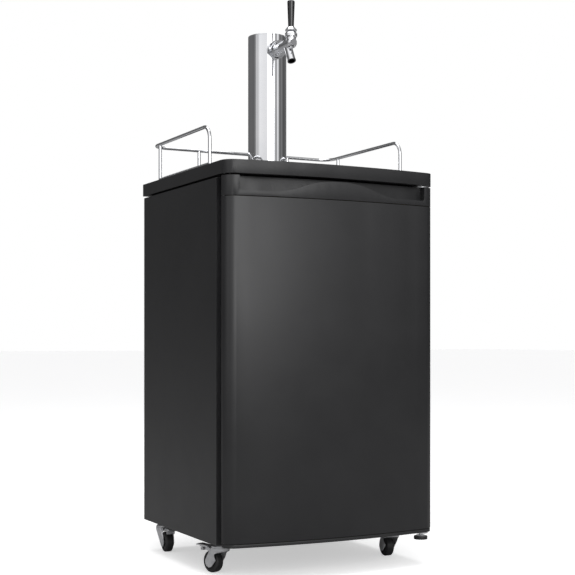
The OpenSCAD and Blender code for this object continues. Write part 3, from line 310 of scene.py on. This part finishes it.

# Hub covers on the wheels: a raised ring and six spokes.
for joint in frame["joints"]:
    if not joint["name"].startswith("roll_"):
        continue
    name = joint["child"]
    centre = Vector(joint["pos_m"])
    axis = Vector(joint["axis"]).normalized()
    turn = axis.to_track_quat("Z", "Y").to_matrix().to_4x4()
    for side, end in ((1, "outer"), (-1, "inner")):
        place = Matrix.Translation(centre) @ turn @ Matrix.Diagonal((1, 1, side, 1))
        bm = bmesh.new()
        lathe(bm, [(0.0152, 0.0066), (0.0148, 0.0074), (0.0138, 0.0078), (0.0128, 0.0074), (0.0124, 0.0066)], place)
        for k in range(6):
            a = k * math.pi / 3
            arm = place @ Matrix.Rotation(a, 4, "Z")
            pts = [(0.0072, -0.0011), (0.0072, 0.0011), (0.0128, 0.0007), (0.0128, -0.0007)]
            low = [bm.verts.new(arm @ Vector((x, y, 0.0069))) for x, y in pts]
            top = [bm.verts.new(arm @ Vector((x, y * 0.7, 0.0076))) for x, y in pts]
            bm.faces.new(top)
            for i in range(4):
                j = (i + 1) % 4
                bm.faces.new((low[i], low[j], top[j], top[i]))
        mesh_piece("hub_ribs_" + name[6:] + "_" + end, bm, wheel_mat, name)

# Dial marks on the thermostat housing's face.
(kx0, _, kz0), (kx1, _, kz1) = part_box("thermostat_knob")
(_, face_y, _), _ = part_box("thermostat_housing")
cx, cz = (kx0 + kx1) / 2, (kz0 + kz1) / 2
bm = bmesh.new()
for i in range(10):
    a = math.radians(90 - i * 30)
    d = Vector((math.cos(a), 0, math.sin(a)))
    n = Vector((-math.sin(a), 0, math.cos(a)))
    w = 0.0003 + 0.00007 * i
    base = Vector((cx, face_y - 0.0002, cz))
    quad = [base + d * r + n * s for r, s in ((0.0172, -w), (0.0172, w), (0.0202, w), (0.0202, -w))]
    bm.faces.new([bm.verts.new(p) for p in quad])
mesh_piece("dial_marks", bm, plastic, "cabinet", smooth=False)

# ------------------------------------------------------------- stage
bm = bmesh.new()
for x, y in ((-30, -12), (30, -12), (30, 40), (-30, 40)):
    bm.verts.new((x, y, 0))
bm.faces.new(bm.verts)
mesh = bpy.data.meshes.new("floor")
bm.to_mesh(mesh)
bm.free()
floor = bpy.data.objects.new("floor", mesh)
scene.collection.objects.link(floor)
pale = surface("pale_floor", (0.93, 0.93, 0.93), (0.95, 0.95, 0.95), (0.75, 0.85),
               grain=60, bump=0.02, patch=2, spec=0.1)
tree = pale.node_tree
glow = next(n for n in tree.nodes if n.type == "BSDF_PRINCIPLED")
glow.inputs["Emission Color"].default_value = (1, 1, 1, 1)
glow.inputs["Emission Strength"].default_value = 0.50
dull = add(tree, "ShaderNodeBsdfDiffuse", 600, -400)
dull.inputs[0].default_value = (0.45, 0.45, 0.45, 1)
seen = add(tree, "ShaderNodeLightPath", 600, 300)
both = add(tree, "ShaderNodeMixShader", 800, 150)
tree.links.new(seen.outputs["Is Camera Ray"], both.inputs[0])
tree.links.new(dull.outputs[0], both.inputs[1])
tree.links.new(glow.outputs[0], both.inputs[2])
tree.links.new(both.outputs[0], next(n for n in tree.nodes if n.type == "OUTPUT_MATERIAL").inputs[0])
mesh.materials.append(pale)

world = bpy.data.worlds.new("studio")
scene.world = world
world.use_nodes = True
tree = world.node_tree
tree.nodes.clear()
link = tree.links.new
out = add(tree, "ShaderNodeOutputWorld", 900, 0)
mix = add(tree, "ShaderNodeMixShader", 700, 0)
path = add(tree, "ShaderNodeLightPath", 300, 300)
white = add(tree, "ShaderNodeBackground", 450, -250)
white.inputs[0].default_value = (1, 1, 1, 1)
white.inputs[1].default_value = 1.0
room = add(tree, "ShaderNodeBackground", 450, 0)
room.inputs[1].default_value = 1.0
# Walls of the studio by compass angle: 0 is behind the camera's shoulder,
# negative is to its left. Each stop is an angle and a brightness.
WALLS = [(-180, 0.10), (-168, 0.05), (-150, 0.12), (-110, 0.13), (-88, 0.12), (-76, 0.20), (-66, 0.62), (-58, 0.50),
         (-46, 0.86), (-10, 0.80), (34, 0.95), (47, 0.90), (52, 0.22), (58, 0.30), (64, 0.85), (72, 0.60),
         (80, 0.10), (98, 0.20), (112, 0.07), (126, 0.12), (145, 0.05), (160, 0.45), (172, 0.30), (180, 0.10)]
place = add(tree, "ShaderNodeTexCoord", -900, 0)
split = add(tree, "ShaderNodeSeparateXYZ", -700, 0)
turned = add(tree, "ShaderNodeMapping", -800, 0)
turned.vector_type = "VECTOR"
turned.inputs["Rotation"].default_value = (0, 0, math.radians(CAMERA_TURN))
link(place.outputs["Generated"], turned.inputs[0])
link(turned.outputs[0], split.inputs[0])
flip_y = add(tree, "ShaderNodeMath", -500, -100, operation="MULTIPLY")
flip_y.inputs[1].default_value = -1.0
link(split.outputs[1], flip_y.inputs[0])
angle = add(tree, "ShaderNodeMath", -350, 0, operation="ARCTAN2")
link(split.outputs[0], angle.inputs[0])
link(flip_y.outputs[0], angle.inputs[1])
unit = add(tree, "ShaderNodeMapRange", -200, 0)
unit.inputs["From Min"].default_value = -math.pi
unit.inputs["From Max"].default_value = math.pi
link(angle.outputs[0], unit.inputs[0])
walls = add(tree, "ShaderNodeValToRGB", 0, 0)
bands = walls.color_ramp.elements
while len(bands) > 1:
    bands.remove(bands[0])
for k, (deg, level) in enumerate(WALLS):
    stop = bands[0] if k == 0 else bands.new((deg + 180) / 360)
    stop.position = (deg + 180) / 360
    stop.color = (level, level, level * 1.01, 1)
link(unit.outputs[0], walls.inputs[0])
height = add(tree, "ShaderNodeMapRange", -200, -250)
height.inputs["From Min"].default_value = -0.5
height.inputs["From Max"].default_value = 0.35
height.inputs["To Min"].default_value = 0.25
height.inputs["To Max"].default_value = 1.25
link(split.outputs[2], height.inputs[0])
shade = add(tree, "ShaderNodeMixRGB", 250, 0, blend_type="MULTIPLY")
shade.inputs[0].default_value = 1.0
link(walls.outputs[0], shade.inputs[1])
link(height.outputs[0], shade.inputs[2])
link(shade.outputs[0], room.inputs[0])
link(path.outputs["Is Camera Ray"], mix.inputs[0])
link(room.outputs[0], mix.inputs[1])
link(white.outputs[0], mix.inputs[2])
link(mix.outputs[0], out.inputs[0])


def softbox(name, place, target, width, height, power):
    """A rectangular lamp at place that faces target."""
    lamp = bpy.data.lights.new(name, "AREA")
    lamp.shape = "RECTANGLE"
    lamp.size = width
    lamp.size_y = height
    lamp.energy = power
    ob = bpy.data.objects.new(name, lamp)
    scene.collection.objects.link(ob)
    ob.location = place
    ob.rotation_euler = (Vector(target) - Vector(place)).to_track_quat("-Z", "Y").to_euler()


softbox("front_box", (-0.35, -4.2, 1.9), (0, 0, 0.7), 2.8, 2.2, 54)
softbox("top_box", (0.0, 0.2, 3.8), (0, 0, 0.6), 2.6, 2.6, 60)

camera = bpy.data.cameras.new("camera")
camera.sensor_width = 36.0
camera.lens = 76.0
camera.shift_y = 0.0889
camera.clip_end = 200
view = bpy.data.objects.new("camera", camera)
scene.collection.objects.link(view)
view.location = (-1.134, -2.2258, 0.4482)
view.rotation_euler = (math.radians(90), 0, math.radians(-CAMERA_TURN))
scene.camera = view
scene.view_settings.view_transform = "Standard"
